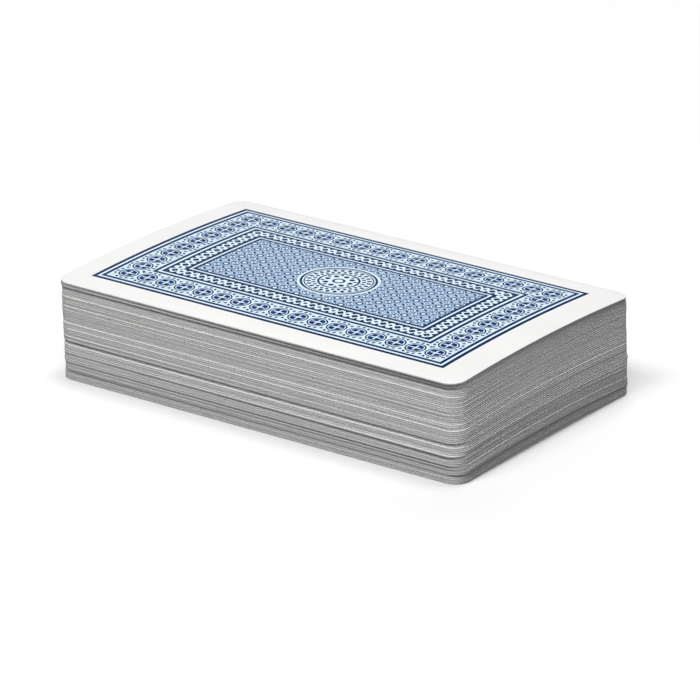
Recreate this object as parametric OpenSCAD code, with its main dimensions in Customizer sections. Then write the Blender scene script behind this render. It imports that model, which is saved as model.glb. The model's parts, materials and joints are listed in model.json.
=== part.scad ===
// A deck of playing cards, stacked face down and not quite square.
// X runs along the cards, Y across them and Z up from the table.
// The origin is on the table, under the middle of the bottom card.
// Every card is bowed across its width, round one axis that all the cards share,
// so each one nests on the card below and slides off it lengthwise.

/* [Card] */
// Length of a card
card_l = 88; // [60:0.5:130]
// Width of a card
card_w = 57; // [40:0.5:90]
// Thickness of the board
card_t = 0.31; // [0.24:0.01:0.5]
// Radius of the rounded corners
corner_r = 3; // [1:0.1:8]

/* [Stack] */
// Air between one card and the next
air_gap = 0.033; // [0.02:0.001:0.1]
// Rise of each card's middle above its two long edges
bow = 0.98; // [0.2:0.02:3]
// How far the stack is out of square: 0 is square, 1 is a deck set down by hand
slack = 1; // [0:0.05:1.5]
// Stray of a single card across the stack, to either side, and twice its stray along the stack
stray = 0.03; // [0:0.005:0.1]
// Turn of a single card from its neighbours, in degrees either way
twist = 0.04; // [0:0.01:0.2]
// Choice of the strays and turns
shuffle = 8; // [1:1:99]

/* [Hidden] */
RANKS = [
    "ace", "two", "three", "four", "five", "six", "seven",
    "eight", "nine", "ten", "jack", "queen", "king"
];

// Names of one suit's cards in rising order, and in falling order
function rising(suit) = [for (rank = RANKS) str(rank, "_of_", suit)];
function falling(suit) = [for (i = [len(RANKS) - 1 : -1 : 0]) str(RANKS[i], "_of_", suit)];

// The order of a new deck that lies face down, from the bottom card up
NODES = concat(
    rising("hearts"),
    rising("clubs"),
    falling("diamonds"),
    falling("spades"),
    ["black_joker", "red_joker"]
);

top_card = len(NODES) - 1;
pitch = card_t + air_gap;

// Bow of the bottom card's underside, which stands on its two long edges
bow_r = (card_w * card_w / 4 + bow * bow) / (2 * bow);
bow_axis_z = bow - bow_r;

// Room round the stack for the solids that cut a card to shape
room = 2;
stack_top = bow + (top_card + 1) * pitch;
arc_facets = 720;
corner_facets = 64;

// Slow lean of the stack along X, and the two cards between which it leans
lean = -1.1;
lean_from = 17;
lean_to = 50;

// Steps in the stack: a card's number from the bottom, how far it and all the cards
// above it are set over along X and Y, and how far they are turned, in degrees
steps = [
    [5, 0.22, -0.16, 0.08],
    [8, -0.02, -0.1, -0.06],
    [10, -0.05, -0.15, -0.1],
    [15, 0, -0.12, -0.08],
    [16, 0, 0.12, 0.08],
    [20, 0, 0.3, 0],
    [22, 0, -0.3, 0],
    [25, 0.04, 0.06, 0],
    [29, -0.06, 0.14, 0],
    [32, -0.04, 0.15, 0],
    [39, 0, 0.06, 0],
    [41, 0, 0.1, 0],
    [46, 0, 0.27, 0],
    [51, 0, -0.22, 0],
    [top_card, 0.13, -0.24, -0.2]
];

stray_x = rands(-stray / 2, stray / 2, len(NODES), shuffle);
stray_y = rands(-stray, stray, len(NODES), shuffle + 1);
turns = rands(-twist, twist, len(NODES), shuffle + 2);

function total(v, i = 0) = i < len(v) ? v[i] + total(v, i + 1) : 0;

// Sum of all the steps up to card k: column 1 holds X, 2 holds Y and 3 holds the turn
function stepped(k, column) = total([for (s = steps) if (s[0] <= k) s[column]]);
function leaned(k) = lean * min(max((k - lean_from) / (lean_to - lean_from), 0), 1);

// Where card k lies, and how far it is turned: the bottom card is the datum
function place(k) =
    k == 0 ? [0, 0] : slack * [leaned(k) + stepped(k, 1) + stray_x[k], stepped(k, 2) + stray_y[k]];
function turn(k) = k == 0 ? 0 : slack * (stepped(k, 3) + turns[k]);

// A card's outline: straight sides and four round corners
module outline() {
    square([card_l - 2 * corner_r, card_w], center = true);
    square([card_l, card_w - 2 * corner_r], center = true);
    for (x = [-1, 1], y = [-1, 1])
        translate([x * (card_l / 2 - corner_r), y * (card_w / 2 - corner_r)])
            circle(r = corner_r, $fn = corner_facets);
}

// The bowed layer of the stack that card k is cut from
module layer(k) {
    under_r = bow_r + k * pitch;
    translate([0, 0, bow_axis_z])
        rotate([90, 0, 90])
            linear_extrude(card_l + 2 * room, center = true)
                difference() {
                    circle(r = under_r + card_t, $fn = arc_facets);
                    circle(r = under_r, $fn = arc_facets);
                }
}

module card(k) {
    color("whitesmoke")
        intersection() {
            layer(k);
            translate([place(k).x, place(k).y, -room])
                rotate(turn(k))
                    linear_extrude(stack_top + 2 * room)
                        outline();
        }
}

for (k = [0 : top_card])
    card(k);
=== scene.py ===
"""Looks of a deck of playing cards: printed boards, their cut edges, and a small studio.

A card's sizes are in millimetres until its finished mesh is scaled to metres; the studio's are in metres.
"""
import json
import logging
import math
import random
from dataclasses import dataclass
from enum import Enum, IntEnum
from typing import Callable, Iterable, Union

import bmesh
import bpy
from mathutils import Matrix, Vector
from mathutils.geometry import convex_hull_2d


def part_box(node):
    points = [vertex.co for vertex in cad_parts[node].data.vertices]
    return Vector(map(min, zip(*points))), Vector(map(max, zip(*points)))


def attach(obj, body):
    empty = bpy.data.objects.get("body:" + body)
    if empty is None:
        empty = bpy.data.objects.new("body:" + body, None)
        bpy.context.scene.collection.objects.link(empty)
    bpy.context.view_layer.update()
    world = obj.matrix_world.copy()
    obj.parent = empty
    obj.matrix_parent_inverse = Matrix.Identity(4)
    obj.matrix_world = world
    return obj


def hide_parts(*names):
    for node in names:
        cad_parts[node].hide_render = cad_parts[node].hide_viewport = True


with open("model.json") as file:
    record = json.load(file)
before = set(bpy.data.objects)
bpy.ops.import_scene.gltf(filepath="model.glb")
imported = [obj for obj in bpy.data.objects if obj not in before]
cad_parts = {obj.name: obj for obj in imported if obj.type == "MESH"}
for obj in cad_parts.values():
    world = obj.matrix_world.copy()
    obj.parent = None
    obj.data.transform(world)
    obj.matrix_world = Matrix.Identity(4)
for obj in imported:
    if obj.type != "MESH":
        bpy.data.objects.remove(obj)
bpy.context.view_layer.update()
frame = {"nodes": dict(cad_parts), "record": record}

log = logging.getLogger("deck")

MM = 0.001
CARD_MAP = "Card"
BAKE_MAP = "OFBake"
TONE = "tone"
# Millimetres to one unit of the map that the prints read
MAP_MM = 100.0
# Softness of a printed edge
INK_BLEED = 0.06
# Middle of a share that runs from 0 to 1, such as a noise or a place in a card's thickness
MIDDLE = 0.5

# Sockets of a shared effect, by the type of what they carry, and the inputs of one that reads a place
SOCKETS = {"VALUE": "NodeSocketFloat", "RGBA": "NodeSocketColor", "VECTOR": "NodeSocketVector"}
PLACE = {"U": "VALUE", "V": "VALUE"}

Colour = tuple[float, float, float]
BLACK: Colour = (0.0, 0.0, 0.0)
WHITE: Colour = (1.0, 1.0, 1.0)
Value = Union["Wire", float]


class Side(IntEnum):
    """The sides of a card, numbered as its material slots."""

    BACK = 0
    FACE = 1
    EDGE = 2


@dataclass(frozen=True)
class Wire:
    """A number that a node puts out; sums with it add Math nodes to its sheet."""

    sheet: "Sheet"
    socket: bpy.types.NodeSocket

    def __add__(self, other: Value) -> "Wire":
        """Adds a number."""
        return self.sheet.math("ADD", self, other)

    def __sub__(self, other: Value) -> "Wire":
        """Takes a number away."""
        return self.sheet.math("SUBTRACT", self, other)

    def __rsub__(self, other: Value) -> "Wire":
        """Takes this away from a number."""
        return self.sheet.math("SUBTRACT", other, self)

    def __mul__(self, other: Value) -> "Wire":
        """Multiplies by a number."""
        return self.sheet.math("MULTIPLY", self, other)

    def __truediv__(self, other: Value) -> "Wire":
        """Divides by a number."""
        return self.sheet.math("DIVIDE", self, other)

    def __abs__(self) -> "Wire":
        """Drops the sign, which folds a pattern over."""
        return self.sheet.math("ABSOLUTE", self)

    __radd__ = __add__
    __rmul__ = __mul__

    def at_least(self, other: Value) -> "Wire":
        """The larger of this and another number."""
        return self.sheet.math("MAXIMUM", self, other)

    def at_most(self, other: Value) -> "Wire":
        """The smaller of this and another number."""
        return self.sheet.math("MINIMUM", self, other)

    def repeated(self, period: float) -> "Wire":
        """Repeats a pattern: the number's distance from the nearest multiple of a period."""
        return self.sheet.math("WRAP", self, period / 2, -period / 2)

    def below(self, edge: float, soft: float = INK_BLEED) -> "Wire":
        """A mask that is 1 below an edge and 0 above it, with a soft step between."""
        return self.sheet.ramp(self, edge + soft / 2, edge - soft / 2)

    def above(self, edge: float, soft: float = INK_BLEED) -> "Wire":
        """A mask that is 1 above an edge and 0 below it, with a soft step between."""
        return self.sheet.ramp(self, edge - soft / 2, edge + soft / 2)

    def line(self, middle: float, width: float) -> "Wire":
        """A mask that is 1 along a line of a given width."""
        return abs(self - middle).below(width / 2)


class Mix(Enum):
    """What a Mix node mixes: its type, its sockets for a mask and two things, and its result's."""

    NUMBERS = ("FLOAT", (0, 2, 3), 0)
    COLOURS = ("RGBA", (0, 6, 7), 2)


class Sheet:
    """A node tree, with short calls that add nodes to it."""

    ROWS = 12
    COLUMN_STEP = 190
    ROW_STEP = 190

    def __init__(self, tree: bpy.types.NodeTree) -> None:
        """Empties the tree and starts on it."""
        self.tree = tree
        tree.nodes.clear()

    def add(self, kind: str, **settings: object) -> bpy.types.Node:
        """Adds a node, in the next place of a plain grid.

        Args:
            kind: Blender's name of the node's type.
            settings: properties of the node.

        Returns:
            The new node.
        """
        column, row = divmod(len(self.tree.nodes), self.ROWS)
        node = self.tree.nodes.new(kind)
        node.location = (column * self.COLUMN_STEP, -row * self.ROW_STEP)
        for name, value in settings.items():
            setattr(node, name, value)
        return node

    def feed(self, socket: bpy.types.NodeSocket, value: Union[Value, Colour]) -> None:
        """Links a wire to a socket, or sets the socket to a constant.

        Args:
            socket: the input to feed.
            value: a wire, a number, or a colour where the socket takes one.
        """
        if isinstance(value, Wire):
            self.tree.links.new(value.socket, socket)
        else:
            socket.default_value = (*value, 1.0) if socket.type == "RGBA" else value

    def math(self, operation: str, *values: Value) -> Wire:
        """Adds a Math node.

        Args:
            operation: what the node works out.
            values: its inputs, in order.

        Returns:
            The result.
        """
        node = self.add("ShaderNodeMath", operation=operation)
        for socket, value in zip(node.inputs, values):
            self.feed(socket, value)
        return Wire(self, node.outputs[0])

    def ramp(self, value: Wire, start: float, end: float, low: float = 0.0, high: float = 1.0) -> Wire:
        """Maps a number to a straight ramp that stays between its two ends.

        Args:
            value: the number.
            start: where the ramp starts.
            end: where it ends, which may lie below its start.
            low: the result at the start.
            high: the result at the end.

        Returns:
            The result.
        """
        node = self.add("ShaderNodeMapRange")
        for socket, number in zip(node.inputs, (value, start, end, low, high)):
            self.feed(socket, number)
        return Wire(self, node.outputs[0])

    def reach(self, x: Wire, y: Wire) -> Wire:
        """The distance of a point from the origin."""
        return self.math("SQRT", self.math("MULTIPLY_ADD", x, x, y * y))

    def mixed(self, mix: Mix, *values: Union[Value, Colour]) -> Wire:
        """Adds a Mix node.

        Args:
            mix: what it mixes.
            values: its mask, what shows where the mask is 0, and what shows where it is 1.

        Returns:
            The result.
        """
        data_type, places, result = mix.value
        node = self.add("ShaderNodeMix", data_type=data_type)
        for place, value in zip(places, values):
            self.feed(node.inputs[place], value)
        return Wire(self, node.outputs[result])

    def pick(self, mask: Value, no: Value, yes: Value) -> Wire:
        """One number where a mask is 0 and another where it is 1."""
        return self.mixed(Mix.NUMBERS, mask, no, yes)

    def tinted(self, mask: Wire, ground: Union[Wire, Colour], ink: Union[Wire, Colour]) -> Wire:
        """Lays an ink over a ground: the ground shows where a mask is 0."""
        return self.mixed(Mix.COLOURS, mask, ground, ink)

    def card_point(self, about: tuple[float, float] = (0.0, 0.0)) -> tuple[Wire, Wire]:
        """Where a point lies on the card, in millimetres.

        Args:
            about: the point to measure from.

        Returns:
            The two coordinates.
        """
        place = self.add("ShaderNodeUVMap", uv_map=CARD_MAP)
        parts = self.add("ShaderNodeSeparateXYZ")
        self.tree.links.new(place.outputs[0], parts.inputs[0])
        return tuple(
            self.math("MULTIPLY_ADD", Wire(self, parts.outputs[i]), MAP_MM, -about[i]) for i in range(2)
        )

    def use(self, effect: bpy.types.NodeTree, *values: Value) -> dict[str, Wire]:
        """Places a shared effect.

        Args:
            effect: the effect's node group.
            values: its inputs, in order.

        Returns:
            Its results, by name.
        """
        node = self.add("ShaderNodeGroup", node_tree=effect)
        for socket, value in zip(node.inputs, values):
            self.feed(socket, value)
        return {socket.name: Wire(self, socket) for socket in node.outputs}

    def noise(self, stretch: tuple[float, float, float], detail: float = 2.0) -> Wire:
        """Noise over the object's own space.

        Args:
            stretch: how many blotches lie on a millimetre along X, Y and Z.
            detail: how many finer layers the noise has.

        Returns:
            The noise, about 0.5 on average.
        """
        place = self.add("ShaderNodeTexCoord")
        scaled = self.add("ShaderNodeVectorMath", operation="MULTIPLY")
        scaled.inputs[1].default_value = [s / MM for s in stretch]
        grain = self.add("ShaderNodeTexNoise")
        grain.inputs["Scale"].default_value = 1.0
        grain.inputs["Detail"].default_value = detail
        self.tree.links.new(place.outputs["Object"], scaled.inputs[0])
        self.tree.links.new(scaled.outputs[0], grain.inputs["Vector"])
        return Wire(self, grain.outputs[0])

    def bump(self, height: Wire, strength: float, depth: float) -> Wire:
        """Makes a normal from a height.

        Args:
            height: the height.
            strength: how strongly the height shows, from 0 to 1.
            depth: how far a height of 1 rises, in millimetres.

        Returns:
            The normal.
        """
        node = self.add("ShaderNodeBump")
        for name, value in (("Strength", strength), ("Distance", depth * MM), ("Height", height)):
            self.feed(node.inputs[name], value)
        return Wire(self, node.outputs[0])

    def surface(self, inputs: dict[str, Union[Value, Colour]]) -> None:
        """Ends a material with its shader.

        Args:
            inputs: what the shader's sockets get, by the sockets' names.
        """
        shader = self.add("ShaderNodeBsdfPrincipled")
        for name, value in inputs.items():
            self.feed(shader.inputs[name], value)
        output = self.add("ShaderNodeOutputMaterial")
        self.tree.links.new(shader.outputs[0], output.inputs["Surface"])


def shared_effect(
    name: str, inputs: dict[str, str], draw: Callable[..., dict[str, Wire]],
) -> bpy.types.NodeTree:
    """Makes an effect that more than one material uses, once.

    Args:
        name: the effect's name.
        inputs: what it takes, by name, with the type of each.
        draw: adds the nodes to a sheet, from the inputs, and returns the results by name.

    Returns:
        The effect's node group.
    """
    if name in bpy.data.node_groups:
        return bpy.data.node_groups[name]
    group = bpy.data.node_groups.new(name, "ShaderNodeTree")
    sheet = Sheet(group)
    for label, kind in inputs.items():
        group.interface.new_socket(label, in_out="INPUT", socket_type=SOCKETS[kind])
    starts = sheet.add("NodeGroupInput")
    made = draw(sheet, *(Wire(sheet, starts.outputs[label]) for label in inputs))
    ends = sheet.add("NodeGroupOutput")
    for label, wire in made.items():
        group.interface.new_socket(label, in_out="OUTPUT", socket_type=SOCKETS[wire.socket.type])
        sheet.feed(ends.inputs[label], wire)
    return group


@dataclass(frozen=True)
class Inks:
    """Two printings over bare board: a pale tint and dark lines, each from 0 to 1."""

    tint: Value
    lines: Value


@dataclass(frozen=True)
class Stock:
    """The coated board that every print lies on."""

    white: Colour = (0.93, 0.93, 0.92)
    # Specular level of the coating, which is close to matt
    gloss: float = 0.03
    roughness: float = 0.43
    roughness_swing: float = 0.14
    # Share of the swing that a full ink adds
    ink_dull: float = 0.5
    # Share of the colour that the cloudiness takes away at most
    shade: float = 0.035
    bump: float = 0.06
    bump_depth: float = 0.02
    # Blotches to a millimetre of the fine grain and of the cloudiness, and the cloudiness that shows
    fine: tuple[float, float, float] = (3.0, 3.0, 3.0)
    fine_layers: float = 3.0
    clouds: tuple[float, float, float] = (0.09, 0.14, 0.14)
    cloud_layers: float = 4.0
    cloud_from: float = 0.32
    cloud_to: float = 0.72

    def coat(self, sheet: Sheet, coverage: Wire, colour: Wire) -> dict[str, Wire]:
        """Coats a print: the board's cloudiness shades it, its grain roughens it, and ink dulls its gloss.

        Args:
            sheet: the effect's nodes.
            coverage: how much ink lies on the board, from 0 to 1.
            colour: the printed colour.

        Returns:
            The colour, the roughness and the normal of the coated board.
        """
        cloud = sheet.ramp(sheet.noise(self.clouds, self.cloud_layers), self.cloud_from, self.cloud_to)
        height = sheet.noise(self.fine, self.fine_layers)
        return {
            "Colour": sheet.tinted(cloud * self.shade, colour, BLACK),
            "Roughness": (cloud + coverage * self.ink_dull) * self.roughness_swing + self.roughness,
            "Normal": sheet.bump(height, self.bump, self.bump_depth),
        }

    def finish(self, sheet: Sheet, colour: Wire, coverage: Wire) -> None:
        """Ends a print's material: grain, coating and shader.

        Args:
            sheet: the material's nodes.
            colour: the printed colour.
            coverage: how much ink lies on the board, from 0 to 1.
        """
        coat = shared_effect("coated board", {"Coverage": "VALUE", "Print": "RGBA"}, self.coat)
        coated = sheet.use(coat, coverage, colour)
        sheet.surface({
            "Base Color": coated["Colour"],
            "Roughness": coated["Roughness"],
            "Normal": coated["Normal"],
            "Specular IOR Level": self.gloss,
        })


def new_material(name: str) -> tuple[bpy.types.Material, Sheet]:
    """Makes an empty material.

    Args:
        name: the material's name.

    Returns:
        The material, and the sheet of its nodes.
    """
    material = bpy.data.materials.new(name)
    material.use_nodes = True
    return material, Sheet(material.node_tree)


@dataclass(frozen=True)
class Roundel:
    """A round flower of four dark petals about a pale cross, on a tinted disc inside a ring."""

    # The petals: how far each one lies from the flower's two axes, and its radius
    petal_at: float = 0.67
    petal_r: float = 0.57
    # The pale cross: the width of its arms, and how far they reach
    cross: float = 0.34
    cross_r: float = 1.0
    # The disc's reach, its tint, and how much of the dark ink is in it
    disc_r: float = 1.46
    disc_tint: float = 1.0
    disc_dark: float = 0.26
    # The middle and width of the ring, and the reach of the bare board round it
    ring: tuple[float, float] = (1.8, 0.3)
    clear_r: float = 2.2

    def print(self, sheet: Sheet, u: Wire, v: Wire, ground: Value) -> Inks:
        """Prints the flower on its ground.

        Args:
            sheet: the material's nodes.
            u: distance from the flower's middle, along the border.
            v: distance from the flower's middle, across the border.
            ground: tint of the ground round it.

        Returns:
            The two printings.
        """
        r = sheet.reach(u, v)
        side, rise = abs(u), abs(v)
        inked = 1.0 - side.at_most(rise).below(self.cross / 2) * r.below(self.cross_r)
        petals = sheet.reach(side - self.petal_at, rise - self.petal_at).below(self.petal_r)
        disc = r.below(self.disc_r)
        tint = sheet.pick(r.below(self.clear_r), ground, disc * inked * self.disc_tint)
        lines = petals.at_least(disc * self.disc_dark) * inked
        return Inks(tint, lines.at_least(r.line(*self.ring)))


@dataclass(frozen=True)
class BackPrint:
    """The blue back: ruled lines, a border of roundels, a braid, a lattice and a round centre."""

    stock: Stock = Stock()
    navy: Colour = (0.002, 0.019, 0.09)
    blue: Colour = (0.1, 0.31, 0.72)
    pale: Colour = (0.775, 0.92, 1.0)
    # The outermost ruled line, measured to its middle
    half_l: float = 38.17
    half_w: float = 23.21
    # Each ruled line's distance in from the outermost one, and its width
    rules: tuple[tuple[float, float], ...] = (
        (-0.04, 0.76), (1.16, 0.66), (7.78, 0.66), (8.93, 0.6), (11.85, 0.72), (12.95, 0.58),
    )
    # The border: its middle, its roundels along a long and a short side, and the dots on either side
    # of a roundel, which bend towards the border's middle by a share of their squared distance from it
    border_in: float = 4.45
    roundel: Roundel = Roundel()
    long_count: int = 17
    short_count: int = 10
    ground: float = 0.12
    dot_off: float = 2.45
    dot_bend: float = 0.17
    dot_r: float = 0.3
    dots_per_roundel: int = 4
    # The braid: its middle, half its width, its repeats and its dark forms
    braid_in: float = 10.4
    braid_half: float = 1.3
    braid_long: int = 18
    braid_short: int = 8
    diamond_r: float = 0.74
    ribbon: float = 0.32
    braid_dot_r: float = 0.36
    # The lattice: the step between its large and small flowers, the blue wash below them, and how
    # dark their lines are on a full wash
    step: float = 2.43
    lattice_wash: float = 0.27
    lattice_dark: float = 0.9
    # A large flower's bare eye, and the middles and widths of its dark rings
    eye_r: float = 0.5
    large_rings: tuple[tuple[float, float], ...] = ((0.6, 0.37), (1.08, 0.18), (1.68, 0.08))
    # A small flower's rings, the outer one cut into four petals, and the width of the cuts
    small_ring: tuple[float, float] = (0.3, 0.17)
    leaflet_ring: tuple[float, float] = (0.97, 0.47)
    leaflet_gap: float = 0.44
    # The round centre
    centre: tuple[float, float] = (-0.24, 0.07)
    centre_r: float = 7.65
    rings: tuple[tuple[float, float], ...] = ((1.0, 0.46), (3.75, 0.42), (6.3, 0.24), (6.9, 0.46))
    bead_count: int = 8
    bead_at: float = 2.47
    bead_r: float = 0.52
    wedge_at: float = 3.05
    wedge_slope: float = 1.5
    # Rows of slim petals, each row half a step on from the last: place, half length, half width
    petal_count: int = 26
    petal_rows: tuple[tuple[float, float, float], ...] = ((4.62, 0.42, 0.3), (5.56, 0.5, 0.36))

    def inset(self, x: Wire, y: Wire) -> Wire:
        """How far a point lies inside the outermost ruled line."""
        return (self.half_l - abs(x)).at_most(self.half_w - abs(y))

    def border(self, sheet: Sheet, x: Wire, y: Wire, inset: Wire, on_end: Wire) -> Inks:
        """Prints the border's roundels and dots.

        Args:
            sheet: the material's nodes.
            x: place along the card.
            y: place across the card.
            inset: distance in from the outermost line.
            on_end: 1 on the two short sides.

        Returns:
            The two printings.
        """
        mid_x = self.half_l - self.border_in
        mid_y = self.half_w - self.border_in
        pitch_x = 2 * mid_x / (self.long_count - 1)
        pitch_y = 2 * mid_y / (self.short_count - 1)
        along = sheet.pick(on_end, x.repeated(pitch_x), (y + pitch_y / 2).repeated(pitch_y))
        across = inset - self.border_in
        flower = self.roundel.print(sheet, along, across, self.ground)
        dot_step = pitch_x / self.dots_per_roundel
        edge = abs(across) + along * along * self.dot_bend - self.dot_off
        dots = sheet.reach(along.repeated(dot_step), edge).below(self.dot_r)
        return Inks(flower.tint, flower.lines.at_least(dots))

    def braid(self, sheet: Sheet, x: Wire, y: Wire, inset: Wire, on_end: Wire) -> Inks:
        """Prints the braid: two pale ribbons that cross over dark diamonds and dots.

        Args:
            sheet: the material's nodes.
            x: place along the card.
            y: place across the card.
            inset: distance in from the outermost line.
            on_end: 1 on the two short sides.

        Returns:
            The two printings.
        """
        pitch_x = 2 * (self.half_l - self.braid_in) / self.braid_long
        pitch_y = 2 * (self.half_w - self.braid_in) / self.braid_short
        # Quarters of a repeat: 0 in the middle of a diamond, 1 where the ribbons cross, 2 at a dot
        turn = abs(sheet.pick(on_end, x / pitch_x, y / pitch_y).repeated(1.0)) * 4.0
        across = inset - self.braid_in
        rise = abs(across) / self.braid_half
        diamonds = (turn * (pitch_x / 4) + abs(across)).below(self.diamond_r)
        corners = (rise - abs(turn - 1.0)).above(self.ribbon, 2 * INK_BLEED)
        dots = sheet.reach((2.0 - turn) * (pitch_x / 4), across).below(self.braid_dot_r)
        return Inks(0.0, diamonds.at_least(corners).at_least(dots))

    def lattice(self, sheet: Sheet, x: Wire, y: Wire) -> Inks:
        """Prints the lattice of large and small flowers, which alternate as on a chess board.

        Args:
            sheet: the material's nodes.
            x: distance from the lattice's middle, along the card.
            y: distance from the lattice's middle, across the card.

        Returns:
            The two printings.
        """
        # Small flowers lie on whole repeats of the two diagonal ways, and large ones half a repeat on
        ways = ((x + y) / (2 * self.step), (x - y) / (2 * self.step))
        places: list[tuple[Wire, Wire]] = []
        for shift in (0.0, 0.5):
            a, b = ((way + shift).repeated(1.0) for way in ways)
            places.append(((a + b) * self.step, (a - b) * self.step))
        (small_x, small_y), (large_x, large_y) = places
        r = sheet.reach(small_x, small_y)
        petals = r.line(*self.leaflet_ring) * abs(small_x).at_most(abs(small_y)).above(self.leaflet_gap / 2)
        lines = petals.at_least(r.line(*self.small_ring))
        r = sheet.reach(large_x, large_y)
        for ring in self.large_rings:
            lines = lines.at_least(r.line(*ring))
        wash = sheet.pick(lines, (1.0 - r.below(self.eye_r)) * self.lattice_wash, 1.0)
        return Inks(wash, lines * self.lattice_dark)

    def medallion(self, sheet: Sheet, x: Wire, y: Wire, r: Wire) -> Inks:
        """Prints the round centre: rings, beads, wedges and a wreath of slim petals.

        Args:
            sheet: the material's nodes.
            x: distance from the middle, along the card.
            y: distance from the middle, across the card.
            r: distance from the middle.

        Returns:
            The two printings.
        """
        lines: Wire = r.line(*self.rings[0])
        for ring in self.rings[1:]:
            lines = lines.at_least(r.line(*ring))
        angle = sheet.math("ARCTAN2", y, x)
        bead_step = math.tau / self.bead_count
        bead_way = r * angle.repeated(bead_step)
        beads = sheet.reach(r - self.bead_at, bead_way).below(self.bead_r)
        wedge_way = abs(r * (angle + bead_step / 2).repeated(bead_step))
        wedges = (abs(r - self.wedge_at) + wedge_way * self.wedge_slope).below(self.bead_r)
        lines = lines.at_least(beads).at_least(wedges)
        petal_step = math.tau / self.petal_count
        for row, (at, half_l, half_w) in enumerate(self.petal_rows):
            way = r * (angle + row * petal_step / 2).repeated(petal_step)
            petals = sheet.reach((r - at) / half_l, way / half_w).below(1.0, INK_BLEED / half_w)
            lines = lines.at_least(petals)
        return Inks(0.0, lines)

    def material(self) -> bpy.types.Material:
        """Makes the back's material.

        Returns:
            The material.
        """
        material, sheet = new_material("blue_back")
        x, y = sheet.card_point()
        inset = self.inset(x, y)
        on_end = (abs(x) - abs(y)).above(self.half_l - self.half_w)
        border = self.border(sheet, x, y, inset, on_end)
        braid = self.braid(sheet, x, y, inset, on_end)
        from_x, from_y = x - self.centre[0], y - self.centre[1]
        r = sheet.reach(from_x, from_y)
        lattice = self.lattice(sheet, from_x, from_y)
        medallion = self.medallion(sheet, from_x, from_y, r)
        _, first, second, third, fourth, last = (rule[0] for rule in self.rules)
        in_border = inset.above(first) * inset.below(second)
        in_braid = inset.above(third) * inset.below(fourth)
        in_centre = r.below(self.centre_r)
        in_field = inset.above(last) * (1.0 - in_centre)
        tint = in_border * border.tint + in_field * lattice.tint
        lines = in_border * border.lines + in_braid * braid.lines
        lines = lines + in_field * lattice.lines + in_centre * medallion.lines
        for rule in self.rules:
            lines = lines.at_least(inset.line(*rule))
        washed = sheet.tinted(inset.above(0.0), self.stock.white, self.pale)
        washed = sheet.tinted(tint, washed, self.blue)
        self.stock.finish(sheet, sheet.tinted(lines, washed, self.navy), lines)
        return material


@dataclass(frozen=True)
class BoardEdge:
    """The cut edge: grey plies between two pale coats, with torn fibres and a few specks."""

    paper: Colour = (1.0, 1.0, 0.99)
    grey: float = 0.9
    gloss: float = 0.1
    roughness: float = 0.85
    # Streaks, speckle and specks: how far each changes the grey, and its blotches to a millimetre
    streak: float = 0.32
    streaks: tuple[float, float, float] = (0.7, 0.7, 11.0)
    streak_layers: float = 3.0
    speckle: float = 0.46
    speckles: tuple[float, float, float] = (5.0, 5.0, 8.0)
    speck: float = 0.34
    specks: tuple[float, float, float] = (1.6, 1.6, 2.4)
    speck_layers: float = 1.0
    speck_from: float = 0.73
    speck_soft: float = 0.04
    # How far a whole card is lighter or darker than the rest
    card_swing: float = 0.05
    # The pale coats and the dark line of glue, in shares of the thickness from its middle
    coat: float = 0.1
    coat_from: float = 0.4
    glue: float = 0.12
    glue_half: float = 0.06
    bump: float = 0.5
    bump_depth: float = 0.03

    def material(self) -> bpy.types.Material:
        """Makes the edge's material.

        Returns:
            The material.
        """
        material, sheet = new_material("cut_edge")
        _, ply = sheet.card_point()
        from_middle = abs(ply / MAP_MM - MIDDLE)
        tone = sheet.add("ShaderNodeAttribute", attribute_name=TONE)
        streak = sheet.noise(self.streaks, self.streak_layers)
        speckle = sheet.noise(self.speckles)
        specks = sheet.noise(self.specks, self.speck_layers).above(self.speck_from, self.speck_soft)
        light = (streak - MIDDLE) * self.streak + (speckle - MIDDLE) * self.speckle + self.grey
        light = light + Wire(sheet, tone.outputs["Fac"]) * self.card_swing
        light = light + from_middle.above(self.coat_from) * self.coat
        light = light - from_middle.below(self.glue_half) * self.glue - specks * self.speck
        sheet.surface({
            "Base Color": sheet.tinted(light, BLACK, self.paper),
            "Roughness": self.roughness,
            "Normal": sheet.bump(streak + speckle, self.bump, self.bump_depth),
            "Specular IOR Level": self.gloss,
        })
        return material


class Suit(Enum):
    """The suits, by the last word of a card's name; the jokers' sign is a star."""

    HEARTS = "hearts"
    CLUBS = "clubs"
    DIAMONDS = "diamonds"
    SPADES = "spades"
    STARS = "joker"


class Rank(Enum):
    """The ranks, by the first word of a suit card's name."""

    ACE = "ace"
    TWO = "two"
    THREE = "three"
    FOUR = "four"
    FIVE = "five"
    SIX = "six"
    SEVEN = "seven"
    EIGHT = "eight"
    NINE = "nine"
    TEN = "ten"
    JACK = "jack"
    QUEEN = "queen"
    KING = "king"
    JOKER = "joker"


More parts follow.
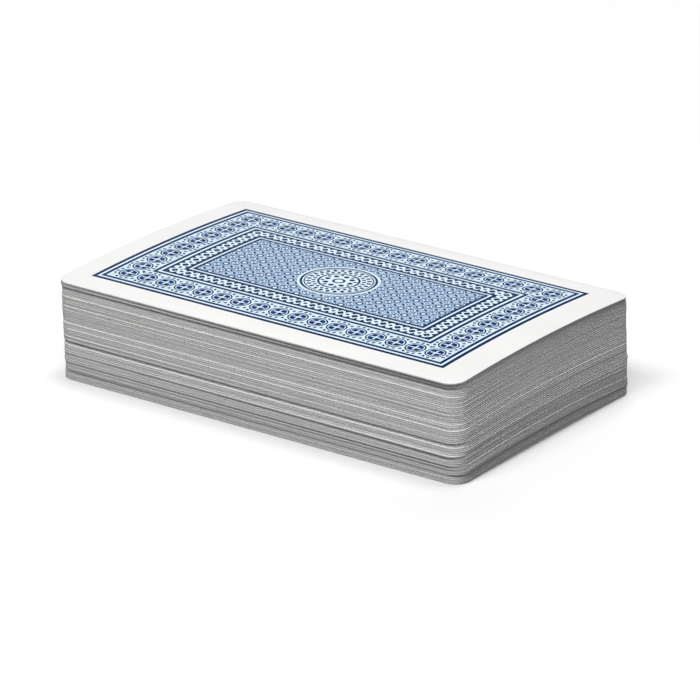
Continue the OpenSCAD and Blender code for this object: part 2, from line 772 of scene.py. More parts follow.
@dataclass(frozen=True)
class Signs:
    """The shapes of the suits' signs, in heights of a sign."""

    # Softness of an outline
    soft: float = 0.02
    # Half the diagonal of the square in a heart, and the scale and rise of the heart in a spade
    heart_half: float = 0.4525
    spade_scale: float = 0.86
    spade_rise: float = 0.11
    # The three discs of a club, and the one that fills its middle
    club_r: float = 0.235
    club_top: float = 0.265
    club_side: tuple[float, float] = (0.25, -0.09)
    club_middle_r: float = 0.14
    # How far below a sign's middle its stem starts, and how fast the stem widens
    stem_top: float = 0.12
    stem_slope: float = 0.36
    # Half a sign's height, and half a diamond's width
    half_h: float = 0.5
    diamond_w: float = 0.38
    star_points: int = 5
    star_inner: float = 0.21

    def heart(self, sheet: Sheet, u: Wire, v: Wire) -> dict[str, Wire]:
        """A heart: a square that stands on its corner, with a half disc on each upper side.

        Args:
            sheet: the effect's nodes.
            u: the point's place to the right.
            v: the point's place upwards.

        Returns:
            The heart's mask.
        """
        side, half = abs(u), self.heart_half
        lobes = sheet.reach(side - half / 2, v - half / 2).below(half / math.sqrt(2), self.soft)
        return {"Mask": lobes.at_least((side + abs(v)).below(half, self.soft))}

    def stem(self, u: Wire, v: Wire) -> Wire:
        """The foot of a spade or a club, which widens downwards."""
        flare = (abs(u) + v * self.stem_slope).below(-self.stem_top * self.stem_slope, self.soft)
        return flare * v.above(-self.half_h, self.soft)

    def spade(self, sheet: Sheet, u: Wire, v: Wire) -> dict[str, Wire]:
        """A spade: a heart upside down, on a stem."""
        body = self.heart(sheet, u / self.spade_scale, (self.spade_rise - v) / self.spade_scale)
        return {"Mask": body["Mask"].at_least(self.stem(u, v))}

    def club(self, sheet: Sheet, u: Wire, v: Wire) -> dict[str, Wire]:
        """A club: three discs on a stem.

        Args:
            sheet: the effect's nodes.
            u: the point's place to the right.
            v: the point's place upwards.

        Returns:
            The club's mask.
        """
        top = sheet.reach(u, v - self.club_top)
        low = sheet.reach(abs(u) - self.club_side[0], v - self.club_side[1])
        leaves = top.at_most(low).below(self.club_r, self.soft)
        middle = sheet.reach(u, v).below(self.club_middle_r, self.soft)
        return {"Mask": leaves.at_least(middle).at_least(self.stem(u, v))}

    def diamond(self, sheet: Sheet, u: Wire, v: Wire) -> dict[str, Wire]:
        """A diamond with straight sides."""
        return {"Mask": (abs(u) / self.diamond_w + abs(v) / self.half_h).below(1.0, 2 * self.soft)}

    def star(self, sheet: Sheet, u: Wire, v: Wire) -> dict[str, Wire]:
        """A star, folded to one side of one point.

        Args:
            sheet: the effect's nodes.
            u: the point's place to the right.
            v: the point's place upwards.

        Returns:
            The star's mask.
        """
        step = math.tau / self.star_points
        angle = abs(sheet.math("ARCTAN2", u, v).repeated(step))
        r = sheet.reach(u, v)
        inner = Vector((math.cos(step / 2), math.sin(step / 2))) * self.star_inner
        normal = Vector((inner.y, self.half_h - inner.x)).normalized()
        out = r * sheet.math("COSINE", angle) * normal.x + r * sheet.math("SINE", angle) * normal.y
        return {"Mask": out.below(self.half_h * normal.x, self.soft)}

    def effect(self, suit: Suit) -> bpy.types.NodeTree:
        """Makes the shared effect that draws a suit's sign.

        Args:
            suit: the suit.

        Returns:
            The effect's node group.
        """
        draw = {
            Suit.HEARTS: self.heart, Suit.CLUBS: self.club, Suit.DIAMONDS: self.diamond,
            Suit.SPADES: self.spade, Suit.STARS: self.star,
        }[suit]
        return shared_effect(f"sign of {suit.name.lower()}", PLACE, draw)


Run = tuple[tuple[float, float], ...]


def pen_stroke(sheet: Sheet, u: Wire, v: Wire, *ends: Wire) -> dict[str, Wire]:
    """The distance of a point from a straight stroke.

    Args:
        sheet: the effect's nodes.
        u: the point's place to the right.
        v: the point's place upwards.
        ends: the stroke's start and end, each to the right and upwards.

    Returns:
        The distance.
    """
    from_u, from_v, to_u, to_v = ends
    way_u, way_v, off_u, off_v = to_u - from_u, to_v - from_v, u - from_u, v - from_v
    share = (off_u * way_u + off_v * way_v) / (way_u * way_u + way_v * way_v)
    share = share.at_least(0.0).at_most(1.0)
    return {"Distance": sheet.reach(off_u - share * way_u, off_v - share * way_v)}


def pen(sheet: Sheet, u: Wire, v: Wire, runs: tuple[Run, ...]) -> Wire:
    """The distance of a point from the nearest of some runs of strokes.

    Args:
        sheet: the nodes to add to.
        u: the point's place to the right.
        v: the point's place upwards.
        runs: points that strokes join, run by run.

    Returns:
        The distance.
    """
    ends = dict.fromkeys(("From U", "From V", "To U", "To V"), "VALUE")
    stroke = shared_effect("pen stroke", PLACE | ends, pen_stroke)
    found: list[Wire] = []
    for run in runs:
        for start, end in zip(run, run[1:]):
            found.append(sheet.use(stroke, u, v, *start, *end)["Distance"])
    nearest = found[0]
    for wire in found[1:]:
        nearest = nearest.at_most(wire)
    return nearest


@dataclass(frozen=True)
class Glyph:
    """An index figure, drawn with a round pen on a grid that is four wide and six high."""

    runs: tuple[Run, ...]
    wide: float = 4.0
    high: float = 6.0
    pen_r: float = 0.42

    def half_turned(self) -> "Glyph":
        """The same figure upside down."""
        return Glyph(tuple(tuple((self.wide - u, self.high - v) for u, v in run) for run in self.runs))

    def draw(self, sheet: Sheet, u: Wire, v: Wire) -> dict[str, Wire]:
        """Draws the figure about its middle, from places in heights of the figure."""
        across, up = u * self.high + self.wide / 2, v * self.high + self.high / 2
        return {"Mask": pen(sheet, across, up, self.runs).below(self.pen_r)}


SIX = Glyph((
    ((3.6, 5.4), (2.4, 6), (1, 5.3), (0.1, 3.6), (0.1, 1.4), (1, 0.1), (2.4, 0), (3.7, 0.8), (4, 2),
     (3.4, 3.2), (2, 3.6), (0.7, 3.1), (0.1, 2)),
))
GLYPHS = {
    Rank.ACE: Glyph((((0, 0), (2, 6), (4, 0)), ((0.7, 2), (3.3, 2)))),
    Rank.TWO: Glyph((((0, 4.7), (0.6, 5.7), (2, 6), (3.4, 5.6), (3.9, 4.4), (3.3, 3.2), (0, 0), (4, 0)),)),
    Rank.THREE: Glyph((
        ((0.2, 5.2), (1, 6), (3, 6), (3.8, 5.2), (3.8, 4), (3, 3.2), (1.6, 3.2)),
        ((3, 3.2), (4, 2.3), (4, 1), (3, 0), (1, 0), (0, 0.9)),
    )),
    Rank.FOUR: Glyph((((3, 0), (3, 6), (0, 1.8), (4.2, 1.8)),)),
    Rank.FIVE: Glyph((
        ((3.8, 6), (0.6, 6), (0.3, 3.4), (2, 3.8), (3.4, 3.3), (4, 2), (3.4, 0.6), (2, 0), (0.8, 0.1),
         (0, 0.9)),
    )),
    Rank.SIX: SIX,
    Rank.SEVEN: Glyph((((0, 6), (4, 6), (1.5, 0)),)),
    Rank.EIGHT: Glyph((
        ((2, 3.2), (3.5, 3.9), (3.6, 5.2), (2, 6), (0.4, 5.2), (0.5, 3.9), (2, 3.2), (3.8, 2.3), (4, 1),
         (2.8, 0), (1.2, 0), (0, 1), (0.2, 2.3), (2, 3.2)),
    )),
    Rank.NINE: SIX.half_turned(),
    Rank.TEN: Glyph((
        ((-0.8, 4.8), (0.3, 6), (0.3, 0)),
        ((3.2, 6), (2.2, 5), (2.2, 1), (3.2, 0), (3.8, 0), (4.8, 1), (4.8, 5), (3.8, 6), (3.2, 6)),
    )),
    Rank.JACK: Glyph((((1.6, 6), (4, 6)), ((3, 6), (3, 1.3), (2, 0), (0.9, 0), (0, 1.2)))),
    Rank.QUEEN: Glyph((
        ((1.2, 6), (0, 4.8), (0, 1.2), (1.2, 0), (2.8, 0), (4, 1.2), (4, 4.8), (2.8, 6), (1.2, 6)),
        ((2.3, 1.7), (4.1, -0.4)),
    )),
    Rank.KING: Glyph((((0, 0), (0, 6)), ((4, 6), (0, 2.4)), ((1.4, 3.7), (4, 0)))),
}


@dataclass(frozen=True)
class Places:
    """Where a card's signs lie: the rows of its two side columns and of its middle one."""

    sides: tuple[float, ...] = ()
    middle: tuple[float, ...] = ()
    size: float = 9.5
    column: float = 11.5
    # How far the outermost row lies from the card's middle
    row: float = 28.0

    def from_nearest(self, sheet: Sheet, v: Wire, rows: tuple[float, ...]) -> Wire:
        """How far a point lies above the nearest sign of a column.

        Args:
            sheet: the effect's nodes.
            v: the point's place upwards.
            rows: the column's rows from the top down, in shares of the outermost one's distance.

        Returns:
            The distance in heights of a sign, turned round for the signs that stand on their heads.
        """
        at: Value = rows[0] * self.row
        for above, row in zip(rows, rows[1:]):
            at = sheet.pick(v.below((above + row) / 2 * self.row), at, row * self.row)
        off = (v - at) / self.size
        if min(rows) >= 0:
            return off
        turned_from = (max(r for r in rows if r < 0) + min(r for r in rows if r >= 0)) / 2
        return off * sheet.pick(v.below(turned_from * self.row), 1.0, -1.0)

    def draw(self, sheet: Sheet, u: Wire, v: Wire) -> dict[str, Wire]:
        """Finds places from the nearest sign of each sort of column.

        Args:
            sheet: the effect's nodes.
            u: the point's place to the right.
            v: the point's place upwards.

        Returns:
            The places in heights of a sign, by the sort of column and the way.
        """
        found: dict[str, Wire] = {}
        if self.sides:
            found["Side U"] = (abs(u) - self.column) / self.size
            found["Side V"] = self.from_nearest(sheet, v, self.sides)
        if self.middle:
            found["Middle U"] = u / self.size
            found["Middle V"] = self.from_nearest(sheet, v, self.middle)
        return found


THIRDS = (1.0, 1 / 3, -1 / 3, -1.0)
PLACES = {
    Rank.ACE: Places(middle=(0.0,), size=18.0),
    Rank.TWO: Places(middle=(1.0, -1.0)),
    Rank.THREE: Places(middle=(1.0, 0.0, -1.0)),
    Rank.FOUR: Places(sides=(1.0, -1.0)),
    Rank.FIVE: Places(sides=(1.0, -1.0), middle=(0.0,)),
    Rank.SIX: Places(sides=(1.0, 0.0, -1.0)),
    Rank.SEVEN: Places(sides=(1.0, 0.0, -1.0), middle=(0.5,)),
    Rank.EIGHT: Places(sides=(1.0, 0.0, -1.0), middle=(0.5, -0.5)),
    Rank.NINE: Places(sides=THIRDS, middle=(0.0,)),
    Rank.TEN: Places(sides=THIRDS, middle=(2 / 3, -2 / 3)),
    Rank.JOKER: Places(middle=(0.0,), size=22.0),
}


class Crest(Enum):
    """What a court figure wears."""

    POINTS = "points"
    BALLS = "balls"
    CAP = "cap"


@dataclass(frozen=True)
class Palette:
    """The inks of the faces."""

    white: Colour = Stock.white
    red: Colour = (0.52, 0.01, 0.016)
    black: Colour = (0.012, 0.012, 0.014)
    gold: Colour = (0.78, 0.44, 0.045)
    blue: Colour = (0.02, 0.07, 0.3)


@dataclass(frozen=True)
class Court:
    """A court card's picture: a plain half figure in a frame, repeated by a half turn."""

    crest: Crest
    robe: Colour
    front: Colour
    held: tuple[Run, ...]
    bloom_r: float = 0.0
    palette: Palette = Palette()
    # The frame of two lines: half its width and height, its lines' width and the step between them
    frame_u: float = 18.0
    frame_v: float = 38.0
    frame_w: float = 0.3
    frame_step: float = 0.8
    # The robe, its front, its gold stripes and its collar
    robe_half: float = 16.6
    robe_slope: float = 0.5
    robe_top: float = 16.0
    placket: float = 2.2
    chevron_step: float = 5.2
    chevron_w: float = 1.5
    collar_r: float = 5.4
    collar_w: float = 1.6
    outline: float = 0.4
    # The head, its hair and its plain face
    head_v: float = 21.5
    head_r: float = 4.9
    hair_r: float = 6.4
    hair_drop: float = 1.4
    eye: tuple[float, float] = (1.7, 0.6)
    eye_r: float = 0.45
    mouth: tuple[float, float] = (1.2, -2.3)
    mouth_w: float = 0.4
    # The crown or cap
    crown_v: float = 25.2
    crown_band: float = 2.0
    crown_half: float = 5.5
    crown_step: float = 3.6
    crown_rise: float = 4.0
    ball_r: float = 1.5
    cap_half: tuple[float, float] = (6.6, 2.4)
    # The pen that draws what the figure holds or wears as a feather
    pen_r: float = 0.55

    def crown(self, sheet: Sheet, u: Wire, v: Wire) -> Wire:
        """Draws what the figure wears on its head.

        Args:
            sheet: the effect's nodes.
            u: the point's place to the right.
            v: the point's place upwards.

        Returns:
            Its mask.
        """
        top = self.crown_v + self.crown_band
        if self.crest is Crest.CAP:
            return sheet.reach(u / self.cap_half[0], (v - top) / self.cap_half[1]).below(1.0, INK_BLEED)
        reach = abs(u.repeated(self.crown_step))
        band = v.below(top)
        if self.crest is Crest.BALLS:
            crest = band.at_least(sheet.reach(reach, v - top - self.ball_r).below(self.ball_r))
        else:
            spike = (1.0 - reach * (2 / self.crown_step)) * self.crown_rise
            crest = (v - top - spike).below(0.0)
        return crest * v.above(self.crown_v) * abs(u).below(self.crown_half)

    def face_lines(self, sheet: Sheet, u: Wire, v: Wire, r: Wire) -> Wire:
        """The mask of a plain face: its outline, two eyes and a mouth.

        Args:
            sheet: the effect's nodes.
            u: the point's place to the right.
            v: the point's place above the head's middle.
            r: the point's distance from the head's middle.

        Returns:
            The mask.
        """
        eyes = sheet.reach(abs(u) - self.eye[0], v - self.eye[1]).below(self.eye_r)
        mouth = v.line(self.mouth[1], self.mouth_w) * abs(u).below(self.mouth[0])
        return r.line(self.head_r, self.outline).at_least(eyes).at_least(mouth)

    def draw(self, sheet: Sheet, u: Wire, v: Wire) -> dict[str, Wire]:
        """Draws the picture, from places folded by a half turn.

        Args:
            sheet: the effect's nodes.
            u: the point's place to the right.
            v: the point's place upwards, never below zero.

        Returns:
            The picture's colour and how much ink it has.
        """
        inks = self.palette
        side, flare = abs(u), abs(u) + v * self.robe_slope
        low = v.below(self.robe_top)
        robe = flare.below(self.robe_half) * low
        chevrons = robe * abs((side + v).repeated(self.chevron_step)).below(self.chevron_w / 2)
        placket = robe * side.below(self.placket)
        collar = sheet.reach(u, v - self.robe_top).line(self.collar_r, self.collar_w) * low
        r = sheet.reach(u, v - self.head_v)
        hair = sheet.reach(u, v - self.head_v + self.hair_drop).below(self.hair_r)
        head, crown = r.below(self.head_r), self.crown(sheet, u, v)
        held = pen(sheet, u, v, self.held).below(self.pen_r)
        inset = (self.frame_u - side).at_most(self.frame_v - v)
        dark = inset.line(0.0, self.frame_w).at_least(inset.line(self.frame_step, self.frame_w))
        dark = dark.at_least(flare.line(self.robe_half, self.outline) * low)
        dark = dark.at_least(self.face_lines(sheet, u, v - self.head_v, r) * (1.0 - crown)).at_least(held)
        gold = chevrons.at_least(collar).at_least(hair).at_least(crown)
        colour = sheet.tinted(robe, inks.white, self.robe)
        colour = sheet.tinted(placket, colour, self.front)
        colour = sheet.tinted(gold, colour, inks.gold)
        colour = sheet.tinted(head * (1.0 - crown), colour, inks.white)
        colour = sheet.tinted(dark, colour, inks.black)
        if self.bloom_r:
            end = self.held[0][-1]
            bloom = sheet.reach(u - end[0], v - end[1]).below(self.bloom_r)
            colour = sheet.tinted(bloom, colour, inks.red)
        return {"Colour": colour, "Ink": robe.at_least(gold).at_least(dark)}


COURTS = {
    Rank.JACK: Court(
        Crest.CAP, Palette.blue, Palette.red,
        (((12.5, 3), (12.5, 29)), ((4, 28.5), (7, 32), (9.5, 33))),
    ),
    Rank.QUEEN: Court(
        Crest.BALLS, Palette.red, Palette.blue,
        (((12.5, 8), (12.5, 23)), ((12.5, 13), (14.5, 16))),
        bloom_r=2.4,
    ),
    Rank.KING: Court(
        Crest.POINTS, Palette.blue, Palette.red,
        (((12.5, 6), (12.5, 31)), ((9.8, 11), (15.2, 11))),
    ),
}


@dataclass(frozen=True)
class Face:
    """One card's printed face: an index in two corners, and signs or a picture."""

    name: str
    stock: Stock = Stock()
    signs: Signs = Signs()
    palette: Palette = Palette()
    # The index's middle, its height, and its small sign's height and distance below it
    index_at: tuple[float, float] = (-23.4, 36.6)
    index_h: float = 7.2
    small_h: float = 5.0
    small_drop: float = 8.0
    # A court card's sign inside its frame
    court_sign_at: tuple[float, float] = (-12.0, 31.5)
    court_sign_h: float = 7.5
    # The ring round a joker's star
    ring_r: float = 15.0
    ring_w: float = 1.2

    @property
    def suit(self) -> Suit:
        """The card's suit."""
        return Suit(self.name.split("_")[-1])

    @property
    def rank(self) -> Rank:
        """The card's rank."""
        return Rank.JOKER if self.suit is Suit.STARS else Rank(self.name.split("_")[0])

    @property
    def ink(self) -> Colour:
        """The ink of the card's signs."""
        red = self.suit in (Suit.HEARTS, Suit.DIAMONDS) or self.name.startswith("red")
        return self.palette.red if red else self.palette.black

    def point(self, sheet: Sheet) -> dict[str, Wire]:
        """Where a point lies on a face, and where it lies when the lower half is turned half round."""
        u, v = sheet.card_point()
        return {"U": u, "V": v, "Turned U": u * sheet.math("SIGN", v), "Turned V": abs(v)}

    def sign(self, sheet: Sheet, u: Wire, v: Wire, at: tuple[float, float], height: float) -> Wire:
        """The mask of one sign of the card's suit, about a given middle and of a given height."""
        return sheet.use(self.signs.effect(self.suit), (u - at[0]) / height, (v - at[1]) / height)["Mask"]

    def index(self, sheet: Sheet, u: Wire, v: Wire) -> Wire:
        """Draws the corner index, from places folded by a half turn.

        Args:
            sheet: the material's nodes.
            u: the point's place to the right.
            v: the point's place upwards, never below zero.

        Returns:
            The mask of the figure and the small sign below it, or of a joker's sign alone.
        """
        small_at = (self.index_at[0], self.index_at[1] - self.small_drop)
        if self.rank is Rank.JOKER:
            return self.sign(sheet, u, v, self.index_at, self.index_h)
        figure = shared_effect(f"index {self.rank.name.lower()}", PLACE, GLYPHS[self.rank].draw)
        off = ((u - self.index_at[0]) / self.index_h, (v - self.index_at[1]) / self.index_h)
        return sheet.use(figure, *off)["Mask"].at_least(self.sign(sheet, u, v, small_at, self.small_h))

    def placed_signs(self, sheet: Sheet, u: Wire, v: Wire) -> Wire:
        """Draws the signs in the middle of a card that has no picture.

        Args:
            sheet: the material's nodes.
            u: the point's place to the right.
            v: the point's place upwards.

        Returns:
            The mask of all the signs.
        """
        places = shared_effect(f"places {self.rank.name.lower()}", PLACE, PLACES[self.rank].draw)
        found = sheet.use(places, u, v)
        masks = [
            sheet.use(self.signs.effect(self.suit), found[column + " U"], found[column + " V"])["Mask"]
            for column in ("Side", "Middle") if column + " U" in found
        ]
        if self.rank is Rank.JOKER:
            masks.append(sheet.reach(u, v).line(self.ring_r, self.ring_w))
        return masks[0].at_least(masks[1]) if len(masks) > 1 else masks[0]

    def material(self) -> bpy.types.Material:
        """Makes the face's material.

        Returns:
            The material.
        """
        material, sheet = new_material(self.name + "_face")
        at = sheet.use(shared_effect("face point", {}, self.point))
        mask = self.index(sheet, at["Turned U"], at["Turned V"])
        ground: Union[Wire, Colour] = self.stock.white
        coverage = mask
        if self.rank in COURTS:
            court = shared_effect(f"picture {self.rank.name.lower()}", PLACE, COURTS[self.rank].draw)
            picture = sheet.use(court, at["Turned U"], at["Turned V"])
            ground, coverage = picture["Colour"], picture["Ink"].at_least(mask)
            sign = self.sign(sheet, at["Turned U"], at["Turned V"], self.court_sign_at, self.court_sign_h)
            mask = mask.at_least(sign)
        else:
            mask = mask.at_least(self.placed_signs(sheet, at["U"], at["V"]))
        self.stock.finish(sheet, sheet.tinted(mask, ground, self.ink), coverage)
        return material


@dataclass(frozen=True)
class Lie:
    """How one card lies in the stack: its middle, its turn, and the radius of its underside's bow."""

    x: float
    y: float
    turn: float
    under_r: float


@dataclass(frozen=True)
class CardShape:
    """The outline and thickness that all the cards share, and the axis that they bow round."""

    length: float
    width: float
    thickness: float
    corner_r: float
    axis_z: float
    strips: int = 40
    corner_segments: int = 8
    rim: float = 0.035
    rim_segments: int = 2
    rim_angle: float = math.radians(60)
    # How upright the normal of a printed side is at least, while the card is flat
    flat_normal: float = 0.99
    # The map that the finish is baked on: its scale, its margin and the width of an edge's strip
    bake_mm: float = 120.0
    bake_margin: float = 1.0
    bake_edge: float = 3.0

    def flat(self) -> bmesh.types.BMesh:
        """Builds a card as it comes off the press: flat, with round corners and a soft rim.

        Returns:
            The card, about the origin, with its underside at zero.
        """
        card = bmesh.new()
        bmesh.ops.create_grid(card, x_segments=1, y_segments=1, size=0.5)
        bmesh.ops.scale(card, vec=(self.length, self.width, 1.0), verts=card.verts)
        bmesh.ops.bevel(
            card, geom=card.verts[:], offset=self.corner_r, offset_type="OFFSET", affect="VERTICES",
            segments=self.corner_segments, profile=0.5, material=-1,
        )
        for i in range(1, self.strips):
            level = self.width * (i / self.strips - MIDDLE)
            everything = card.verts[:] + card.edges[:] + card.faces[:]
            bmesh.ops.bisect_plane(card, geom=everything, plane_co=(0, level, 0), plane_no=(0, 1, 0))
        raised = bmesh.ops.extrude_face_region(card, geom=card.faces[:], use_keep_orig=True)
        top = [v for v in raised["geom"] if isinstance(v, bmesh.types.BMVert)]
        bmesh.ops.translate(card, vec=(0, 0, self.thickness), verts=top)
        bmesh.ops.recalc_face_normals(card, faces=card.faces[:])
        rims = [e for e in card.edges if e.calc_face_angle(0.0) > self.rim_angle]
        bmesh.ops.bevel(
            card, geom=rims, offset=self.rim, offset_type="OFFSET", affect="EDGES",
            segments=self.rim_segments, profile=0.5, material=-1, clamp_overlap=True,
        )
        card.normal_update()
        return card

    def side_of(self, face: bmesh.types.BMFace) -> Side:
        """Tells which side of a flat card a face belongs to.

        Args:
            face: the face.

        Returns:
            The side.
        """
        if abs(face.normal.z) < self.flat_normal:
            return Side.EDGE
        return Side.BACK if face.normal.z > 0 else Side.FACE

    def bake_place(self, side: Side, at: Vector, normal: Vector) -> tuple[float, float]:
        """Where a corner of a flat card lies on the map that the finish is baked on.

        Args:
            side: the side that the corner's face belongs to.
            at: the corner.
            normal: the face's normal.

        Returns:
            The place, from 0 to 1 both ways.
        """
        left, low = self.bake_margin, self.bake_margin
        if side != Side.EDGE:
            row = self.width + 2 * self.bake_margin if side == Side.FACE else 0.0
            return (
                (left + at.x + self.length / 2) / self.bake_mm,
                (low + row + at.y + self.width / 2) / self.bake_mm,
            )
        ply = at.z / self.thickness
        on_end = abs(normal.x) > abs(normal.y)
        column = (2 if on_end else 0) + (1 if (normal.x if on_end else normal.y) > 0 else 0)
        run = at.y + self.width / 2 if on_end else at.x + self.length / 2
        start = self.length + 3 * self.bake_margin + column * (self.bake_edge + 2 * self.bake_margin)
        return (start + ply * self.bake_edge) / self.bake_mm, (low + run) / self.bake_mm

    def mapped(self, card: bmesh.types.BMesh, print_off: tuple[float, float]) -> None:
        """Gives a flat card its sides' materials and its two maps.

        Args:
            card: the flat card.
            print_off: how far the back's print lies from the card's middle.
        """
        on_card = card.loops.layers.uv.new(CARD_MAP)
        on_bake = card.loops.layers.uv.new(BAKE_MAP)
        for face in card.faces:
            side = self.side_of(face)
            face.material_index = int(side)
            for loop in face.loops:
                at = loop.vert.co
                loop[on_bake].uv = self.bake_place(side, at, face.normal)
                if side == Side.BACK:
                    loop[on_card].uv = ((at.x - print_off[0]) / MAP_MM, (at.y - print_off[1]) / MAP_MM)
                elif side == Side.FACE:
                    loop[on_card].uv = (at.y / MAP_MM, at.x / MAP_MM)
                else:
                    loop[on_card].uv = ((at.x + at.y) / MAP_MM, at.z / self.thickness)

    def laid(self, card: bmesh.types.BMesh, lie: Lie) -> None:
        """Turns, shifts and bows a flat card to its place in the stack, and scales it to metres.

        Args:
            card: the flat card.
            lie: its place.
        """
        bmesh.ops.rotate(card, cent=(0, 0, 0), matrix=Matrix.Rotation(lie.turn, 3, "Z"), verts=card.verts)
        bmesh.ops.translate(card, vec=(lie.x, lie.y, 0), verts=card.verts)
        radii = (lie.under_r, lie.under_r + self.thickness)
        for vert in card.verts:
            ply = vert.co.z / self.thickness
            under, over = (math.sqrt(r * r - vert.co.y * vert.co.y) for r in radii)
            vert.co.z = self.axis_z + under + ply * (over - under)
        bmesh.ops.scale(card, vec=(MM, MM, MM), verts=card.verts)
        card.normal_update()


@dataclass
class Deck:
    """The stack of cards, each one measured from the frame and finished in its place."""

    seed: int = 8
    # How far the top card's print lies from the card's middle, and how far the others' prints stray
    top_drift: tuple[float, float] = (-0.84, 0.28)
    drift_spread: tuple[float, float] = (0.35, 0.25)
    # Decimals of a millimetre to which a point of a card's upper side matches the one below it
    match_digits: int = 3
    smooth_angle: float = math.radians(30)

    def __post_init__(self) -> None:
        """Measures the stack and makes the finishes."""
        self.names = list(frame["record"]["behaviour"]["bodies"])
        self.names.sort(key=lambda name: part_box(name)[1].z)
        self.random = random.Random(self.seed)
        self.points = {name: [v.co / MM for v in frame["nodes"][name].data.vertices] for name in self.names}
        self.shape = self.measured_shape()
        self.lies = {name: self.measured_lie(name) for name in self.names}
        self.back = BackPrint().material()
        self.edge = BoardEdge().material()
        self.faces = {name: Face(name).material() for name in self.names}

    def long_side(self, name: str) -> tuple[Vector, list[Vector]]:
        """The direction of a card's long sides, and its outline seen from above.

        Args:
            name: the card's node.

        Returns:
            A unit vector that points along X, and the outline's points.
        """
        flat = [p.xy for p in self.points[name]]
        outline = [flat[i] for i in convex_hull_2d(flat)]
        sides = [b - a for a, b in zip(outline, outline[1:] + outline[:1])]
        side = max(sides, key=lambda s: s.length)
        return (side if side.x > 0 else -side), outline

    def measured_shape(self) -> CardShape:
        """Measures the bottom card, which lies straight and stands on its two long edges.

        Returns:
            The shape that all the cards share.
        """
        bottom = self.names[0]
        low, high = (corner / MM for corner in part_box(bottom))
        side, _ = self.long_side(bottom)
        length, width = high.x - low.x, high.y - low.y
        heights: dict[tuple[float, float], list[float]] = {}
        for point in self.points[bottom]:
            place = (round(point.x, self.match_digits), round(point.y, self.match_digits))
            heights.setdefault(place, []).append(point.z)
        plies = [max(z) - min(z) for z in heights.values()]
        thickness = min(ply for ply in plies if ply > 10 ** -self.match_digits)
        bow = high.z - low.z - thickness
        bow_r = (width * width / 4 + bow * bow) / (2 * bow)
        return CardShape(length, width, thickness, (length - side.length) / 2, low.z + bow - bow_r)

    def measured_lie(self, name: str) -> Lie:
        """Measures how a card lies.

        Args:
            name: the card's node.

        Returns:
            Its place in the stack.
        """
        side, outline = self.long_side(name)
        along = side.normalized()
        across = Vector((-along.y, along.x))
        middle = Vector((0.0, 0.0))
        for axis in (along, across):
            spread = [p.dot(axis) for p in outline]
            middle += axis * (min(spread) + max(spread)) / 2
        under_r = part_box(name)[1].z / MM - self.shape.axis_z - self.shape.thickness
        return Lie(middle.x, middle.y, math.atan2(along.y, along.x), under_r)

    def card(self, name: str) -> bpy.types.Object:
        """Builds and dresses one card, and seats it on its body.

        Args:
            name: the card's node, which is its body's name too.

        Returns:
            The finished card.
        """
        flat = self.shape.flat()
        drift = tuple(self.random.gauss(0, spread) for spread in self.drift_spread)
        if name == self.names[-1]:
            drift = self.top_drift
        self.shape.mapped(flat, drift)
        self.shape.laid(flat, self.lies[name])
        for edge in flat.edges:
            edge.smooth = edge.calc_face_angle(0.0) < self.smooth_angle
        for face in flat.faces:
            face.smooth = True
        mesh = bpy.data.meshes.new(name + "_board")
        flat.to_mesh(mesh)
        flat.free()
        for material in (self.back, self.faces[name], self.edge):
            mesh.materials.append(material)
        tone = mesh.attributes.new(TONE, "FLOAT", "POINT")
        tone.data.foreach_set("value", [self.random.uniform(-1, 1)] * len(mesh.vertices))
        piece = bpy.data.objects.new(name + "_card", mesh)
        bpy.context.scene.collection.objects.link(piece)
        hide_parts(name)
        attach(piece, name)
        return piece

    def build(self) -> Iterable[bpy.types.Object]:
        """Builds the cards from the bottom one up."""
        return (self.card(name) for name in self.names)


@dataclass(frozen=True)
class Lamp:
    """A square soft box that looks at the deck, with its place in degrees round and above it."""

    name: str
    azimuth: float
    elevation: float
    distance: float
    size: float
    # Light on a surface that faces the lamp: at 1 a colour shows as it is written
    level: float

    def build(self) -> None:
        """Hangs the lamp."""
        data = bpy.data.lights.new(self.name, "AREA")
        data.size = self.size
        data.energy = self.level * math.pi ** 2 * self.distance ** 2
        lamp = bpy.data.objects.new(self.name, data)
        back = direction(self.azimuth, self.elevation)
        lamp.location = back * self.distance
        lamp.rotation_euler = back.to_track_quat("Z", "Y").to_euler()
        bpy.context.scene.collection.objects.link(lamp)


def direction(azimuth: float, elevation: float) -> Vector:
    """A unit vector from the deck, by degrees: azimuth 0 is to the front and 90 to the right."""
    a, e = math.radians(azimuth), math.radians(elevation)
    return Vector((math.sin(a) * math.cos(e), -math.cos(a) * math.cos(e), math.sin(e)))


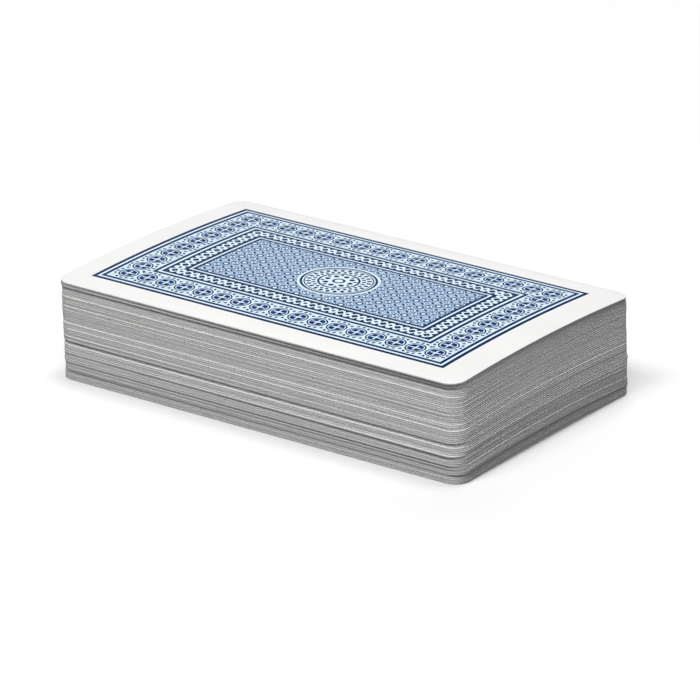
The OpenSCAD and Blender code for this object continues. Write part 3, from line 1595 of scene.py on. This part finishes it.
@dataclass(frozen=True)
class Studio:
    """A pale table, soft lamps, and a camera with a long lens."""

    lamps: tuple[Lamp, ...] = (
        Lamp("left_key_box", -10.0, 57.0, 4.0, 1.25, 0.34),
        Lamp("right_key_box", 28.0, 57.0, 4.0, 1.25, 0.32),
        Lamp("top_box", 170.0, 82.0, 4.0, 1.1, 0.3),
        Lamp("side_box", 75.0, 35.0, 4.0, 2.5, 0.07),
        Lamp("back_box", 218.0, 38.0, 4.0, 2.5, 0.18),
    )
    sky: float = 0.04
    table_size: float = 6.0
    table_drop: float = 0.00003
    # The table's colour as it lights the deck, and as the camera sees it
    table_grey: float = 0.09
    table_white: float = 0.92
    table_glow: float = 0.1
    # How far from the deck the table starts to fade to plain white, and where it has faded
    fade_from: float = 0.16
    fade_to: float = 0.5
    # The camera, from the top card's middle on the table
    azimuth: float = 34.985
    elevation: float = 21.217
    roll: float = 0.843
    distance: float = 0.8073
    lens: float = 227.25
    sensor: float = 36.0
    pan: float = 0.1151
    tilt: float = 0.4265

    def build_world(self) -> None:
        """Lights the scene from all round, with a white background behind it."""
        world = bpy.data.worlds.new("studio")
        bpy.context.scene.world = world
        world.use_nodes = True
        sheet = Sheet(world.node_tree)
        seen = self.seen(sheet)
        back = sheet.add("ShaderNodeBackground")
        sheet.feed(back.inputs["Color"], WHITE)
        sheet.feed(back.inputs["Strength"], sheet.pick(seen, self.sky, 1.0))
        surface = sheet.add("ShaderNodeOutputWorld")
        world.node_tree.links.new(back.outputs[0], surface.inputs["Surface"])

    def seen(self, sheet: Sheet) -> Wire:
        """Makes a mask of what the camera sees, directly or in a gloss or a glass.

        Args:
            sheet: the nodes to add to.

        Returns:
            The mask.
        """
        path = sheet.add("ShaderNodeLightPath")
        rays = ("Is Camera Ray", "Is Glossy Ray", "Is Transmission Ray")
        camera, glossy, through = (Wire(sheet, path.outputs[ray]) for ray in rays)
        return camera.at_least(glossy).at_least(through)

    def build_table(self) -> bpy.types.Object:
        """Lays the table: pale grey to the deck, white with a shadow to the camera.

        Returns:
            The table.
        """
        flat = bmesh.new()
        bmesh.ops.create_grid(flat, x_segments=1, y_segments=1, size=self.table_size / 2)
        bmesh.ops.translate(flat, vec=(0, 0, -self.table_drop), verts=flat.verts)
        mesh = bpy.data.meshes.new("table")
        flat.to_mesh(mesh)
        flat.free()
        material, sheet = new_material("table_white")
        seen = self.seen(sheet)
        place = sheet.add("ShaderNodeTexCoord")
        away = sheet.add("ShaderNodeVectorMath", operation="LENGTH")
        sheet.tree.links.new(place.outputs["Object"], away.inputs[0])
        faded = sheet.ramp(Wire(sheet, away.outputs["Value"]), self.fade_from, self.fade_to) * seen
        grey, white = ((c, c, c) for c in (self.table_grey, self.table_white))
        sheet.surface({
            "Base Color": sheet.tinted(faded, sheet.tinted(seen, grey, white), BLACK),
            "Roughness": 1.0,
            "Specular IOR Level": 0.0,
            "Emission Color": WHITE,
            "Emission Strength": seen * self.table_glow + faded * (1.0 - self.table_glow),
        })
        mesh.materials.append(material)
        table = bpy.data.objects.new("table", mesh)
        bpy.context.scene.collection.objects.link(table)
        return table

    def build_camera(self, lie: Lie) -> None:
        """Sets the camera up.

        Args:
            lie: how the card that it looks at lies.
        """
        back = direction(self.azimuth + math.degrees(lie.turn), self.elevation)
        level = (-back).cross(Vector((0, 0, 1))).normalized()
        plumb = level.cross(-back)
        roll = math.radians(self.roll)
        right = level * math.cos(roll) + plumb * math.sin(roll)
        up = plumb * math.cos(roll) - level * math.sin(roll)
        ahead = -back + right * math.tan(math.radians(self.pan)) + up * math.tan(math.radians(self.tilt))
        ahead.normalize()
        right = (right - ahead * right.dot(ahead)).normalized()
        up = right.cross(ahead)
        data = bpy.data.cameras.new("camera")
        data.sensor_width = self.sensor
        data.lens = self.lens
        camera = bpy.data.objects.new("camera", data)
        place = Vector((lie.x, lie.y, 0)) * MM + back * self.distance
        turn = Matrix((right, up, -ahead)).transposed().to_4x4()
        camera.matrix_world = Matrix.Translation(place) @ turn
        bpy.context.scene.collection.objects.link(camera)
        bpy.context.scene.camera = camera

    def build(self, lie: Lie) -> None:
        """Builds the studio round the deck.

        Args:
            lie: how the top card lies.
        """
        self.build_world()
        self.build_table()
        self.build_camera(lie)
        for lamp in self.lamps:
            lamp.build()
        bpy.context.scene.view_settings.view_transform = "Standard"


def main() -> None:
    """Builds the deck and the studio, and notes the sizes."""
    logging.basicConfig(level=logging.INFO, format="%(message)s")
    deck = Deck()
    log.info("card %s", deck.shape)
    for piece in deck.build():
        log.info("%s: %d faces", piece.name, len(piece.data.polygons))
    Studio().build(deck.lies[deck.names[-1]])


if __name__ == "__main__":
    main()
